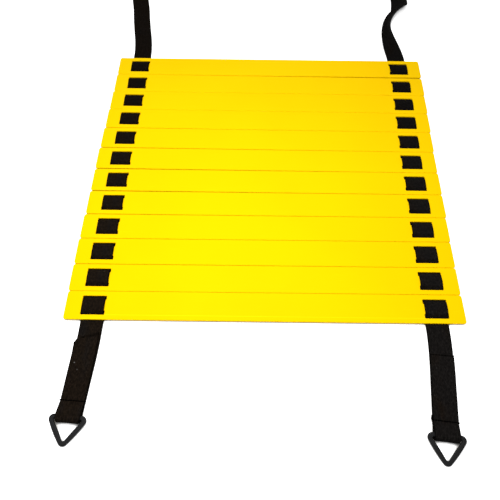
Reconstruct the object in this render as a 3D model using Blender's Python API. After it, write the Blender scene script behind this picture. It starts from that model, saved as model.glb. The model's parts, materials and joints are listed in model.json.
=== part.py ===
"""A flat-rung agility ladder, pushed together and lying on the floor.

Twelve plastic rungs are strung on two webbing straps.  Each strap comes up through the near
slot of a rung, crosses the bridge and goes down through the far slot.  The near end of each
strap is folded back round a triangular ring.  The webbing that spaces the rungs out in use is
put away behind them as a tied hank, with the far end and its ring on top.

Lengths are in metres.  +Z is up, X runs along the rungs and +Y along the straps, away from the
near rings.  The origin is on the floor, under the middle of the whole.
"""

import math

import bmesh
import bpy
from mathutils import Matrix, Vector
from mathutils.geometry import interpolate_bezier

# Gap kept between pieces that touch on the real ladder
CLEARANCE = 0.0003

# Points nearer than this are one point
WELD_DISTANCE = 0.00001

# Webbing
WEB_WIDTH = 0.025
WEB_THICKNESS = 0.0014
WEB_BEND_RADIUS = 0.0015

# Rungs
RUNG_COUNT = 12
RUNG_LENGTH = 0.430
RUNG_WIDTH = 0.0338
RUNG_THICKNESS = 0.0022
RUNG_CORNER_RADIUS = 0.0030
RUNG_EDGE_ROUNDING = 0.0004
SLOT_END_INSET = 0.0175
SLOT_PLAY = 0.0005
SLOT_ROOM = 0.0036
SLOT_CORNER_RADIUS = 0.0005
BRIDGE_WIDTH = 0.0125

# How the rungs lie against each other: sideways shift and turn, near rung first
LARGEST_SHIFT = 0.0027
SHIFT_SHARES = (-0.85, -1.0, -1.0, -0.85, -0.5, -0.4, -0.45, -0.1, 0.3, 0.6, 0.9, 1.0)
LARGEST_TURN_DEG = 0.3
TURN_SHARES = (1.0, 1.0, 0.9, 0.8, 0.6, 0.2, -0.25, -0.6, -0.8, -0.8, -0.8, 0.0)

# Sewn strap ends: from the start of the end piece to the middle of the ring's bar
LEFT_NEAR_LENGTH = 0.1030
RIGHT_NEAR_LENGTH = 0.1166
FAR_LENGTH = 0.105
FOLD_BACK_LENGTH = 0.083
SEAM_FROM_BAR = 0.015
EYE_SLACK = 0.0009
NEAR_SET_IN = 0.0006
SWERVE_LENGTH = 0.050
LEFT_SWERVE_DEG = 4.4
RIGHT_SWERVE_DEG = 6.4

# Triangular rings
RING_WIDTH = 0.0369
RING_HEIGHT = 0.0296
RING_BAND = 0.0042
RING_THICKNESS = 0.0032
RING_EDGE_ROUNDING = 0.0012
RING_CORNER_RADIUS = 0.0048
RING_BASE_FILLET = 0.0012
RING_POINT_FILLET = 0.0018
RING_SIDE_BOW = 0.0005
RING_WINDOW_BOW = -0.0003

# Runs of webbing from the far rung to the hanks
FAR_RUN_LENGTH = 0.205
HANK_SET_OUT = 0.0218

# Points of each far run: share of its length, share of its sideways travel, roll in degrees
LEFT_RUN_SHARES = (
    (0.0, 0.0, 0.0),
    (0.10, 0.03, 0.0),
    (0.21, 0.13, 0.0),
    (0.33, 0.30, 0.0),
    (0.45, 0.46, 0.0),
    (0.57, 0.60, 0.0),
    (0.70, 0.80, 0.0),
    (0.82, 0.94, 0.0),
    (0.92, 1.0, 0.0),
    (1.0, 1.0, 0.0),
)
RIGHT_RUN_SHARES = (
    (0.0, 0.0, 0.0),
    (0.06, -0.04, 0.0),
    (0.13, -0.14, 3.0),
    (0.20, -0.28, 12.0),
    (0.26, -0.38, 26.0),
    (0.32, -0.38, 46.0),
    (0.38, -0.22, 68.0),
    (0.43, 0.04, 90.0),
    (0.48, 0.36, 112.0),
    (0.54, 0.68, 134.0),
    (0.60, 0.90, 154.0),
    (0.66, 1.03, 168.0),
    (0.74, 1.08, 177.0),
    (0.84, 1.05, 180.0),
    (0.93, 1.0, 180.0),
    (1.0, 1.0, 180.0),
)

# Hanks and their ties
HANK_LAYERS = 13
HANK_RUN = 0.300
HANK_END_GAP = 0.0009
HANK_WAIST_GAP = 0.00045
HANK_WAIST_REACH = 0.050
TIE_FROM_NEAR_END = 0.100
TIE_WIDTH = 0.020
TIE_THICKNESS = 0.0015
TIE_CORNER_RADIUS = 0.0030
FAR_END_START = 0.160

# Facets
CORNER_STEPS = 2
BEND_STEPS = 3
FOLD_STEPS = 5
EYE_STEPS = 12
SWERVE_STEPS = 5
RING_CORNER_STEPS = 4
RING_ROUNDING_STEPS = 1
SQUARE_STEPS = 0
RING_BOW_SHARES = (0.25, 0.5, 0.75)
RUN_STEPS = 3
RUN_SHARES_OF_REACH = (-1.0, -0.65, -0.2, 0.2, 0.65, 1.0)

# Colours and finishes
YELLOW = (0.94, 0.76, 0.01)
WEB_BLACK = (0.018, 0.016, 0.015)
RING_BLACK = (0.030, 0.030, 0.032)
TIE_BLACK = (0.012, 0.012, 0.014)
RUNG_ROUGHNESS = 0.42
WEB_ROUGHNESS = 0.85
RING_ROUGHNESS = 0.55
TIE_ROUGHNESS = 0.9

# Sizes that follow from the ones above
SLOT_LENGTH = WEB_WIDTH + 2 * SLOT_PLAY
SLOT_WIDTH = WEB_THICKNESS + SLOT_ROOM
STRAP_X = RUNG_LENGTH / 2 - SLOT_END_INSET - SLOT_LENGTH / 2
SLOT_MIDDLE_Y = (BRIDGE_WIDTH + SLOT_WIDTH) / 2
HANK_X = STRAP_X + HANK_SET_OUT
RUNG_UNDERSIDE = WEB_THICKNESS + CLEARANCE
WEB_LOW = WEB_THICKNESS / 2
WEB_HIGH = RUNG_UNDERSIDE + RUNG_THICKNESS + CLEARANCE + WEB_THICKNESS / 2
BAR_FLAT = RING_BAND / 2 - RING_EDGE_ROUNDING
BAR_SIDE = RING_THICKNESS / 2 - RING_EDGE_ROUNDING
EYE_RADIUS = math.hypot(BAR_FLAT, BAR_SIDE) + RING_EDGE_ROUNDING + CLEARANCE
LOOP_RADIUS = EYE_RADIUS + WEB_THICKNESS
BAR_TO_CORNERS = RING_CORNER_RADIUS - RING_BAND / 2
RING_REACH = RING_HEIGHT - RING_BAND / 2
HANK_END_PITCH = WEB_THICKNESS + HANK_END_GAP
HANK_WAIST_PITCH = WEB_THICKNESS + HANK_WAIST_GAP


def clear_scene():
    for thing in list(bpy.data.objects):
        bpy.data.objects.remove(thing, do_unlink=True)


def make_material(name, colour, roughness):
    material = bpy.data.materials.new(name)
    material.use_nodes = True
    shader = material.node_tree.nodes["Principled BSDF"]
    shader.inputs["Base Color"].default_value = (*colour, 1.0)
    shader.inputs["Roughness"].default_value = roughness
    shader.inputs["Metallic"].default_value = 0.0
    material.diffuse_color = (*colour, 1.0)
    return material


def arc(centre, radius, start_deg, end_deg, steps):
    """Points on an arc, both ends among them."""
    points = []
    for step in range(steps + 1):
        angle = math.radians(start_deg + (end_deg - start_deg) * step / steps)
        points.append(centre + radius * Vector((math.cos(angle), math.sin(angle))))
    return points


def rounded_rectangle(centre, length, width, radius, steps):
    """Outline of a rectangle with rounded corners, anticlockwise."""
    across, up = length / 2 - radius, width / 2 - radius
    points = []
    for quarter, (side, rise) in enumerate(((1, 1), (-1, 1), (-1, -1), (1, -1))):
        corner = centre + Vector((side * across, rise * up))
        points += arc(corner, radius, 90 * quarter, 90 * quarter + 90, steps)
    return points


def rounded_path(corners, radius, steps):
    """A path with an arc of the given radius at each of its inner corners."""
    points = [corners[0]]
    for before, corner, after in zip(corners, corners[1:], corners[2:]):
        inward = (corner - before).normalized()
        outward = (after - corner).normalized()
        turn = inward.angle_signed(outward)
        tangent = radius * math.tan(abs(turn) / 2)
        side = Vector((-inward.y, inward.x)) * math.copysign(radius, -turn)
        start = corner - inward * tangent
        for step in range(steps + 1):
            swing = Matrix.Rotation(-turn * step / steps, 2)
            points.append(start + side - swing @ side)
    points.append(corners[-1])
    return points


def strip_outline(path, thickness):
    """Outline of a strip of even thickness that follows a path."""
    left, right = [], []
    for index, point in enumerate(path):
        before = path[max(index - 1, 0)]
        after = path[min(index + 1, len(path) - 1)]
        ahead = (after - point if after != point else point - before).normalized()
        behind = (point - before if before != point else after - point).normalized()
        middle = Vector((-ahead.y - behind.y, ahead.x + behind.x)).normalized()
        reach = thickness / 2 / middle.dot(Vector((-ahead.y, ahead.x)))
        left.append(point + middle * reach)
        right.append(point - middle * reach)
    return left + right[::-1]


def add_flat(name, outlines, depth, rounding, material, rounding_steps):
    """A flat piece from closed outlines, with its edges rounded over and its holes open."""
    curve = bpy.data.curves.new(name, "CURVE")
    curve.dimensions = "2D"
    curve.fill_mode = "BOTH"
    curve.extrude = depth / 2 - rounding
    curve.bevel_depth = rounding
    curve.bevel_resolution = rounding_steps
    curve.offset = -rounding
    for outline in outlines:
        spline = curve.splines.new("POLY")
        spline.points.add(len(outline) - 1)
        for target, point in zip(spline.points, outline):
            target.co = (point.x, point.y, 0, 1)
        spline.use_cyclic_u = True
    curve.materials.append(material)
    return link(bpy.data.objects.new(name, curve))


def link(thing):
    bpy.data.collections["agility_ladder"].objects.link(thing)
    return thing


def make_mesh(flat):
    """Turns a flat piece into a mesh object with welded caps."""
    name = flat.name
    bpy.context.view_layer.update()
    mesh = bpy.data.meshes.new_from_object(flat.evaluated_get(bpy.context.evaluated_depsgraph_get()))
    shape = bmesh.new()
    shape.from_mesh(mesh)
    bmesh.ops.remove_doubles(shape, verts=shape.verts, dist=WELD_DISTANCE)
    shape.to_mesh(mesh)
    shape.free()
    curve = flat.data
    bpy.data.objects.remove(flat)
    bpy.data.curves.remove(curve)
    mesh.name = name
    return link(bpy.data.objects.new(name, mesh))


def add_place(name, location, turn, parent):
    """An empty that carries pieces which move together."""
    place = link(bpy.data.objects.new(name, None))
    place.location = location
    place.rotation_euler.z = turn
    place.parent = parent
    place.empty_display_size = WEB_WIDTH
    return place


def stand_strip(strip, heading):
    """Stands a strip drawn in length and height on its edge, so that it runs towards +Y or -Y."""
    strip.rotation_euler = (math.pi / 2, 0, heading * math.pi / 2)


def rung_places():
    """Sideways shift, distance along the straps and turn of each rung, near rung first."""
    places, y = [], 0
    for index in range(RUNG_COUNT):
        share = index % len(SHIFT_SHARES)
        turn = math.radians(LARGEST_TURN_DEG * TURN_SHARES[share])
        if index:
            wedge = RUNG_LENGTH / 2 * abs(math.sin(turn - places[-1][2]))
            y += RUNG_WIDTH + CLEARANCE + wedge
        places.append((LARGEST_SHIFT * SHIFT_SHARES[share], y, turn))
    return places


def seam_reaches(places, side):
    """Half the distance across each seam between rungs, where the strap of one side crosses it."""
    reaches = []
    for near, far in zip(places, places[1:]):
        opening = far[1] - near[1] - RUNG_WIDTH
        reaches.append((opening + side * STRAP_X * (far[2] - near[2])) / 2)
    return reaches


def rung_outlines():
    """The rung's edge and its four slots."""
    outlines = [
        rounded_rectangle(Vector((0, 0)), RUNG_LENGTH, RUNG_WIDTH, RUNG_CORNER_RADIUS, CORNER_STEPS)
    ]
    for side in (-1, 1):
        for end in (-1, 1):
            middle = Vector((side * STRAP_X, end * SLOT_MIDDLE_Y))
            outlines.append(
                rounded_rectangle(middle, SLOT_LENGTH, SLOT_WIDTH, SLOT_CORNER_RADIUS, CORNER_STEPS)
            )
    return outlines


def weave_path(near_reach, far_reach):
    """The strap's way under a rung's near margin, over its bridge and under its far margin.

    The climb through a slot is as steep as the slot's two edges need to stay clear of it.
    """
    diagonal = math.hypot(SLOT_WIDTH, RUNG_THICKNESS)
    room = WEB_THICKNESS + 2 * CLEARANCE
    climb = math.atan2(RUNG_THICKNESS, SLOT_WIDTH) + math.asin(min(room / diagonal, 1))
    run = (WEB_HIGH - WEB_LOW) / 2 / math.tan(climb)
    corners = [
        Vector((-near_reach, WEB_LOW)),
        Vector((-SLOT_MIDDLE_Y - run, WEB_LOW)),
        Vector((-SLOT_MIDDLE_Y + run, WEB_HIGH)),
        Vector((SLOT_MIDDLE_Y - run, WEB_HIGH)),
        Vector((SLOT_MIDDLE_Y + run, WEB_LOW)),
        Vector((far_reach, WEB_LOW)),
    ]
    return rounded_path(corners, WEB_BEND_RADIUS, BEND_STEPS)


def end_path(length):
    """The sewn end: along the bottom, loosely round the ring's bar and back on top as the tail."""
    around = LOOP_RADIUS - WEB_THICKNESS / 2
    bend = Vector((length + EYE_SLACK, LOOP_RADIUS))
    tail_height = WEB_LOW + WEB_THICKNESS + CLEARANCE
    seam = Vector((length - SEAM_FROM_BAR, tail_height))
    to_bend = bend - seam
    lean = math.asin(around / to_bend.length) + math.atan2(to_bend.y, to_bend.x)
    points = [Vector((SWERVE_LENGTH * step / SWERVE_STEPS, WEB_LOW)) for step in range(SWERVE_STEPS + 1)]
    points += arc(bend, around, -90, 90 + math.degrees(lean), EYE_STEPS)
    points.append(seam)
    tail_end = length - FOLD_BACK_LENGTH
    for step in range(SWERVE_STEPS, 0, -1):
        if SWERVE_LENGTH * step / SWERVE_STEPS > tail_end + WELD_DISTANCE:
            points.append(Vector((SWERVE_LENGTH * step / SWERVE_STEPS, tail_height)))
    points.append(Vector((tail_end, tail_height)))
    return points


def swerve(strip, angle):
    """Bends a strip sideways through an angle over its first stretch, flat on the floor."""
    if not angle:
        return
    radius = SWERVE_LENGTH / angle
    for vertex in strip.data.vertices:
        along, across = vertex.co.x, vertex.co.z
        bent = angle * min(max(along / SWERVE_LENGTH, 0), 1)
        beyond = max(along - SWERVE_LENGTH, 0) + min(along, 0)
        vertex.co.x = (radius - across) * math.sin(bent) + beyond * math.cos(bent)
        vertex.co.z = radius - (radius - across) * math.cos(bent) + beyond * math.sin(bent)


def swerved_point(length, angle):
    """Where the middle line of a swerving strip has got to, along and across."""
    if not angle:
        return length, 0
    radius = SWERVE_LENGTH / angle
    beyond = length - SWERVE_LENGTH
    along = radius * math.sin(angle) + beyond * math.cos(angle)
    across = radius - radius * math.cos(angle) + beyond * math.sin(angle)
    return along, across


def ring_outline(reach, base_fillet, point_fillet, bow):
    """A triangle whose sides pass the ring's three corner centres at the reach.

    The corners at the bar and the one at the point have their own fillets, and the two long
    sides are bowed.
    """
    half = RING_WIDTH / 2 - RING_CORNER_RADIUS
    height = RING_HEIGHT - 2 * RING_CORNER_RADIUS
    slope = math.atan2(half, height)
    lean = (math.pi / 2 - slope) / 2
    set_in = (base_fillet - reach) / math.sin(lean)
    right = Vector((half - set_in * math.cos(lean), -BAR_TO_CORNERS - set_in * math.sin(lean)))
    left = Vector((-right.x, right.y))
    apex = Vector((0, -BAR_TO_CORNERS - height + (point_fillet - reach) / math.sin(slope)))
    slope = math.degrees(slope)
    at_right = arc(right, base_fillet, 90, -slope, RING_CORNER_STEPS)
    at_apex = arc(apex, point_fillet, -slope, slope - 180, RING_CORNER_STEPS)
    at_left = arc(left, base_fillet, slope - 180, -270, RING_CORNER_STEPS)
    outline = at_right + bowed_side(at_right[-1], at_apex[0], bow)
    outline += at_apex + bowed_side(at_apex[-1], at_left[0], bow)
    return outline + at_left


def bowed_side(start, end, bow):
    """Points between two corners on a shallow parabola."""
    if not bow:
        return []
    along = end - start
    outward = Vector((-along.y, along.x)).normalized()
    return [start + along * share + outward * bow * 4 * share * (1 - share) for share in RING_BOW_SHARES]


def add_ring(name, place, heading, drop, material):
    """A ring on the bar's axis at its place, tipped down until its point rests on what is below."""
    outlines = [
        ring_outline(RING_CORNER_RADIUS, RING_CORNER_RADIUS, RING_CORNER_RADIUS, RING_SIDE_BOW),
        ring_outline(RING_CORNER_RADIUS - RING_BAND, RING_BASE_FILLET, RING_POINT_FILLET, RING_WINDOW_BOW),
    ]
    ring = add_flat(name, outlines, RING_THICKNESS, RING_EDGE_ROUNDING, material, RING_ROUNDING_STEPS)
    flat_reach = RING_REACH - RING_EDGE_ROUNDING
    tip = math.asin(drop / math.hypot(flat_reach, RING_THICKNESS / 2))
    tip -= math.atan2(RING_THICKNESS / 2, flat_reach)
    ring.rotation_euler = (tip, 0, 0 if heading < 0 else math.pi)
    ring.parent = place


def add_near_end(side, rung, opening, length, angle, materials):
    """The sewn near end of one strap, with its ring."""
    name = side_name(side)
    strip = add_flat(name + "_strap_near_end", [strip_outline(end_path(length), WEB_THICKNESS)],
                     WEB_WIDTH, 0, materials["webbing"], SQUARE_STEPS)
    strip = make_mesh(strip)
    swerve(strip, angle)
    stand_strip(strip, -1)
    start = -RUNG_WIDTH / 2 - opening
    x = side * (STRAP_X - NEAR_SET_IN)
    strip.location = (x, start, 0)
    strip.parent = rung
    along, across = swerved_point(length, angle)
    spot = (x - across, start - along, LOOP_RADIUS)
    place = add_place(name + "_near_ring_axis", spot, -angle, rung)
    add_ring(name + "_near_ring", place, -1, LOOP_RADIUS, materials["ring"])


def tie_closeness(along):
    """1 under the tie, falling smoothly to 0 where the hank is at its full height."""
    away = abs(along - TIE_FROM_NEAR_END) - TIE_WIDTH / 2
    share = min(max(1 - away / (HANK_WAIST_REACH - TIE_WIDTH / 2), 0), 1)
    return share * share * (3 - 2 * share)


def layer_height(layer, along):
    """Height of the middle of one layer of the hank."""
    closeness = tie_closeness(along)
    pitch = HANK_END_PITCH + (HANK_WAIST_PITCH - HANK_END_PITCH) * closeness
    return WEB_LOW + (TIE_THICKNESS + CLEARANCE) * closeness + pitch * layer


def hank_path():
    """To and fro in layers, one unbroken strip, until the far end takes over on top."""
    bends = [TIE_FROM_NEAR_END + HANK_WAIST_REACH * share for share in RUN_SHARES_OF_REACH]
    path = [Vector((0, layer_height(0, 0)))]
    for layer in range(HANK_LAYERS):
        outward = layer % 2 == 0
        for along in bends if outward else bends[::-1]:
            path.append(Vector((along, layer_height(layer, along))))
        if layer == HANK_LAYERS - 1:
            break
        end = HANK_RUN if outward else 0
        low, high = layer_height(layer, end), layer_height(layer + 1, end)
        middle = Vector((end, (low + high) / 2))
        finish = 90 if outward else -270
        path += arc(middle, (high - low) / 2, -90, finish, FOLD_STEPS)
    end = FAR_END_START - CLEARANCE if HANK_LAYERS % 2 else HANK_RUN - FAR_END_START + CLEARANCE
    path.append(Vector((end, layer_height(HANK_LAYERS - 1, end))))
    return path


def least_gap(path):
    """Least gap of a wound strip to itself, measured between points and stretches not next to
    each other."""
    least = HANK_RUN
    for index, point in enumerate(path):
        for other in range(index + 2, len(path) - 1):
            start, end = path[other], path[other + 1]
            along = end - start
            share = min(max((point - start).dot(along) / along.length_squared, 0), 1)
            if other - index > FOLD_STEPS:
                least = min(least, (start + along * share - point).length)
    return least - WEB_THICKNESS


def add_hank(side, near_end, parent, materials):
    """The webbing that is put away, its tie, and the sewn far end with its ring on top."""
    name = side_name(side)
    x = side * HANK_X
    path = hank_path()
    print(name, "hank: least gap to itself", round(least_gap(path), 6), "m")
    hank = add_flat(name + "_strap_hank", [strip_outline(path, WEB_THICKNESS)],
                    WEB_WIDTH, 0, materials["webbing"], SQUARE_STEPS)
    stand_strip(hank, 1)
    hank.location = (x, near_end, 0)
    hank.parent = parent

    inner_width = WEB_WIDTH + 2 * CLEARANCE
    top = layer_height(HANK_LAYERS - 1, TIE_FROM_NEAR_END) + WEB_THICKNESS / 2 + CLEARANCE
    middle = Vector((0, (TIE_THICKNESS + top) / 2))
    outer_height = top + TIE_THICKNESS
    outlines = [
        rounded_rectangle(middle, inner_width + 2 * TIE_THICKNESS, outer_height,
                          TIE_CORNER_RADIUS, BEND_STEPS),
        rounded_rectangle(middle, inner_width, outer_height - 2 * TIE_THICKNESS,
                          CLEARANCE, CORNER_STEPS),
    ]
    tie = add_flat(name + "_hank_tie", outlines, TIE_WIDTH, 0, materials["tie"], SQUARE_STEPS)
    tie.rotation_euler.x = math.pi / 2
    tie.location = (x, near_end + TIE_FROM_NEAR_END, 0)
    tie.parent = parent

    strip = add_flat(name + "_strap_far_end", [strip_outline(end_path(FAR_LENGTH), WEB_THICKNESS)],
                     WEB_WIDTH, 0, materials["webbing"], SQUARE_STEPS)
    stand_strip(strip, 1)
    base = HANK_END_PITCH * (HANK_LAYERS - 1)
    strip.location = (x, near_end + FAR_END_START, base)
    strip.parent = parent
    spot = (x, near_end + FAR_END_START + FAR_LENGTH, base + LOOP_RADIUS)
    place = add_place(name + "_far_ring_axis", spot, 0, parent)
    drop = LOOP_RADIUS + HANK_END_GAP - CLEARANCE
    add_ring(name + "_far_ring", place, 1, drop, materials["ring"])


def smoothed(shares):
    """The points of a far run, with steps between them that follow a smooth curve."""
    points = [Vector(share) for share in shares]
    steps = []
    for before, start, end, after in zip(points[:1] + points, points, points[1:], points[2:] + points[-1:]):
        lead = start + (end - before) / 6
        trail = end - (after - start) / 6
        steps += interpolate_bezier(start, lead, trail, end, RUN_STEPS + 1)[:-1]
    return steps + points[-1:]


def add_far_run(side, start, end, shares, parent, material):
    """The stretch of strap from the far rung to the hank, which may roll over on its way."""
    shape = bmesh.new()
    loops = []
    shares = smoothed(shares)
    for index, (along, across, roll_deg) in enumerate(shares):
        middle = start.lerp(end, along)
        middle.x = start.x + (end.x - start.x) * across
        before, after = shares[max(index - 1, 0)], shares[min(index + 1, len(shares) - 1)]
        sideways = (end.x - start.x) * (after[1] - before[1])
        forwards = (end.y - start.y) * (after[0] - before[0])
        heading = 0 if index in (0, len(shares) - 1) else math.atan2(sideways, forwards)
        roll = math.radians(roll_deg)
        frame = Matrix.Rotation(-heading, 3, "Z") @ Matrix.Rotation(roll, 3, "Y")
        rise = WEB_WIDTH / 2 * abs(math.sin(roll)) + WEB_THICKNESS / 2 * abs(math.cos(roll))
        middle.z = rise
        corners = ((-1, -1), (1, -1), (1, 1), (-1, 1))
        loops.append([
            shape.verts.new(middle + frame @ Vector((wide * WEB_WIDTH / 2, 0, tall * WEB_THICKNESS / 2)))
            for wide, tall in corners
        ])
    shape.faces.new(loops[0])
    shape.faces.new(loops[-1][::-1])
    for near, far in zip(loops, loops[1:]):
        for corner in range(4):
            following = (corner + 1) % 4
            shape.faces.new((near[following], near[corner], far[corner], far[following]))
    bmesh.ops.triangulate(shape, faces=shape.faces)
    bmesh.ops.recalc_face_normals(shape, faces=shape.faces)
    mesh = bpy.data.meshes.new(side_name(side) + "_strap_far_run")
    shape.to_mesh(mesh)
    shape.free()
    mesh.materials.append(material)
    run = link(bpy.data.objects.new(mesh.name, mesh))
    run.parent = parent


def side_name(side):
    return "left" if side < 0 else "right"


def build():
    clear_scene()
    collection = bpy.data.collections.new("agility_ladder")
    bpy.context.scene.collection.children.link(collection)
    materials = {
        "rung": make_material("yellow_plastic", YELLOW, RUNG_ROUGHNESS),
        "webbing": make_material("black_webbing", WEB_BLACK, WEB_ROUGHNESS),
        "ring": make_material("black_plastic", RING_BLACK, RING_ROUGHNESS),
        "tie": make_material("hook_and_loop", TIE_BLACK, TIE_ROUGHNESS),
    }

    places = rung_places()
    last_edge = places[-1][1] + RUNG_WIDTH / 2
    hank_start = last_edge + FAR_RUN_LENGTH
    near_limit = -RUNG_WIDTH / 2 - max(LEFT_NEAR_LENGTH, RIGHT_NEAR_LENGTH) - RING_REACH
    far_limit = hank_start + HANK_RUN + HANK_END_PITCH / 2 + WEB_THICKNESS / 2
    ladder = add_place("ladder", (0, -(near_limit + far_limit) / 2, 0), 0, None)

    plate = None
    seams = {side: seam_reaches(places, side) for side in (-1, 1)}
    rungs = []
    for index, (shift, y, turn) in enumerate(places):
        number = "%02d" % (index + 1)
        rung = add_place("rung_" + number + "_place", (shift, y, 0), turn, ladder)
        rungs.append(rung)
        if plate is None:
            piece = add_flat("rung_" + number, rung_outlines(), RUNG_THICKNESS,
                             RUNG_EDGE_ROUNDING, materials["rung"], SQUARE_STEPS)
            plate = piece.data
        else:
            piece = link(bpy.data.objects.new("rung_" + number, plate))
        piece.location.z = RUNG_UNDERSIDE + RUNG_THICKNESS / 2
        piece.parent = rung
        for side in (-1, 1):
            near = seams[side][index - 1] if index else CLEARANCE / 2
            far = seams[side][index] if index < RUNG_COUNT - 1 else CLEARANCE / 2
            trim = RUNG_WIDTH / 2 - CLEARANCE / 2
            outline = strip_outline(weave_path(trim + near, trim + far), WEB_THICKNESS)
            strap = add_flat(side_name(side) + "_strap_" + number, [outline],
                             WEB_WIDTH, 0, materials["webbing"], SQUARE_STEPS)
            stand_strip(strap, 1)
            strap.location.x = side * STRAP_X
            strap.parent = rung

    add_near_end(-1, rungs[0], CLEARANCE, LEFT_NEAR_LENGTH, math.radians(LEFT_SWERVE_DEG), materials)
    add_near_end(1, rungs[0], CLEARANCE, RIGHT_NEAR_LENGTH, math.radians(RIGHT_SWERVE_DEG), materials)

    last_shift = places[-1][0]
    for side, shares in ((-1, LEFT_RUN_SHARES), (1, RIGHT_RUN_SHARES)):
        start = Vector((last_shift + side * STRAP_X, last_edge + CLEARANCE, 0))
        end = Vector((side * HANK_X, hank_start - CLEARANCE, 0))
        add_far_run(side, start, end, shares, ladder, materials["webbing"])
        add_hank(side, hank_start, ladder, materials)


build()
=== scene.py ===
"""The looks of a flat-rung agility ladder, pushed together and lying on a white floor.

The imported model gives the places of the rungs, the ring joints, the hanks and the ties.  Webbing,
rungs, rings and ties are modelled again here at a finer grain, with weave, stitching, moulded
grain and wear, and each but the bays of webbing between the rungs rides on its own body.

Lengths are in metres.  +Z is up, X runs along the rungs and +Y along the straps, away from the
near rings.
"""

import json
import math

import bmesh
import bpy
from mathutils import Matrix, Vector, noise
from mathutils.geometry import interpolate_bezier


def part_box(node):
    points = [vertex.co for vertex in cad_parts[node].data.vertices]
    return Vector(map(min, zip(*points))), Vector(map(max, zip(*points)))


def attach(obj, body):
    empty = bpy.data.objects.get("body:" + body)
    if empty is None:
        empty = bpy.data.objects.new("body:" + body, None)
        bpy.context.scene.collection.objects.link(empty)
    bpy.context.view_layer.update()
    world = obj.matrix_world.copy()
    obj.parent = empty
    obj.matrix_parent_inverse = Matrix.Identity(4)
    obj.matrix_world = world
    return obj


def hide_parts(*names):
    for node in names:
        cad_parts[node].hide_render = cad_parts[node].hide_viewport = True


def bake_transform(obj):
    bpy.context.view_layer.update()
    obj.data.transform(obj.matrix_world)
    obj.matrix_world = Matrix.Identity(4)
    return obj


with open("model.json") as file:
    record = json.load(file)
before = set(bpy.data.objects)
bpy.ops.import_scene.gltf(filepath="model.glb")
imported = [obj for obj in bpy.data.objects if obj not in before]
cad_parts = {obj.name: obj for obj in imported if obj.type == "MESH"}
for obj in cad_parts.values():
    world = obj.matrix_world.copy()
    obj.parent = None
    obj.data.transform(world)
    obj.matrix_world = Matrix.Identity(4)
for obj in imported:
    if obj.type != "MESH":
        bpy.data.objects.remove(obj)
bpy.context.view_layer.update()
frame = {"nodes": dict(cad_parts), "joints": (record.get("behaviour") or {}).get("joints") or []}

# Camera
CAMERA_PLACE = (-0.0130, -0.6313, 0.5485)
CAMERA_PITCH_DEG = 31.41
CAMERA_TURN_DEG = 1.04
CAMERA_LENS = 40.12
CAMERA_SENSOR = 36.0

# Gap between pieces that touch on the real ladder
CLEARANCE = 0.0003

# Webbing, and the longest steps along it: in the hanks, and in woven and sewn parts and ties
WEB_WIDTH = 0.025
WEB_THICKNESS = 0.0014
WEB_BEND_RADIUS = 0.0015
WEB_STEP = 0.003
END_STEP = 0.0015

# Top of the webbing's cross-section, from selvage to selvage: shares of its width and thickness
SECTION_TOP_SHARES = (
    (-0.5, 0.0),
    (-0.494, 0.28),
    (-0.476, 0.45),
    (-0.44, 0.5),
    (-0.30, 0.5),
    (-0.15, 0.5),
    (0.0, 0.5),
    (0.15, 0.5),
    (0.30, 0.5),
    (0.44, 0.5),
    (0.476, 0.45),
    (0.494, 0.28),
    (0.5, 0.0),
)

# Rungs
RUNG_COUNT = 12
RUNG_LENGTH = 0.430
RUNG_WIDTH = 0.0338
RUNG_THICKNESS = 0.0022
RUNG_CORNER_RADIUS = 0.0030
RUNG_EDGE_ROUNDING = 0.0004
SLOT_END_INSET = 0.0175
SLOT_PLAY = 0.0005
SLOT_ROOM = 0.0036
SLOT_CORNER_RADIUS = 0.0008
BRIDGE_WIDTH = 0.0125

# Half of the stretch of strap that rides with a rung
WEAVE_REACH = 0.0119

# How far the strap bows up over each bridge, near rung first, and where along it the bow peaks
LARGEST_BOW = 0.0013
LEFT_BOW_SHARES = (0.45, 0.3, 0.4, 0.25, 0.5, 0.35, 0.3, 0.45, 0.3, 0.5, 1.0, 0.4)
RIGHT_BOW_SHARES = (0.4, 0.55, 0.3, 0.45, 0.35, 0.3, 0.5, 0.4, 0.3, 0.6, 0.7, 0.35)
LEFT_BOW_SKEWS = (1.0, 1.0, 0.9, 1.1, 1.0, 1.0, 1.1, 1.0, 0.9, 1.2, 1.7, 1.0)
RIGHT_BOW_SKEWS = (1.0, 0.9, 1.0, 1.1, 1.0, 1.1, 1.0, 0.9, 1.0, 1.2, 1.4, 1.0)

# Sewn strap ends, with lengths from the start of the end piece to the middle of the ring's bar
LEFT_NEAR_LENGTH = 0.1030
RIGHT_NEAR_LENGTH = 0.1166
FAR_LENGTH = 0.105
FOLD_BACK_LENGTH = 0.083
LEFT_SEAM_FROM_BAR = 0.0160
RIGHT_SEAM_FROM_BAR = 0.0138
FAR_SEAM_FROM_BAR = 0.015
EYE_SLACK = 0.0019
EYE_PINCH_SHARE = 0.075
EYE_CALM_REACH = 0.020
NEAR_SET_IN = 0.0006
SWERVE_LENGTH = 0.050
LEFT_SWERVE_DEG = 4.4
RIGHT_SWERVE_DEG = 6.4
TAIL_PUFF = 0.00035
SEAM_DIP = 0.00015
GROOVE_REACH = 0.0022
LOOP_BULGE = 0.0006
LOOP_BULGE_SKEW = 0.6
END_ROW_INSET = 0.0012
LEFT_TAIL_SHIFT = -0.0017
CUT_REACH = 0.020

# Cut ends of the tails, left selvage first: share of the width, how far it is set back there
LEFT_CUT = ((-0.5, 0.0052), (-0.43, 0.0018), (-0.36, 0.0006), (0.0, -0.0022), (0.5, -0.0056))
RIGHT_CUT = ((-0.5, 0.0002), (0.0, -0.0002), (0.5, 0.0001))
SQUARE_CUT = ((-0.5, 0.0), (0.5, 0.0))
FRAY = 0.0003

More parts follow.
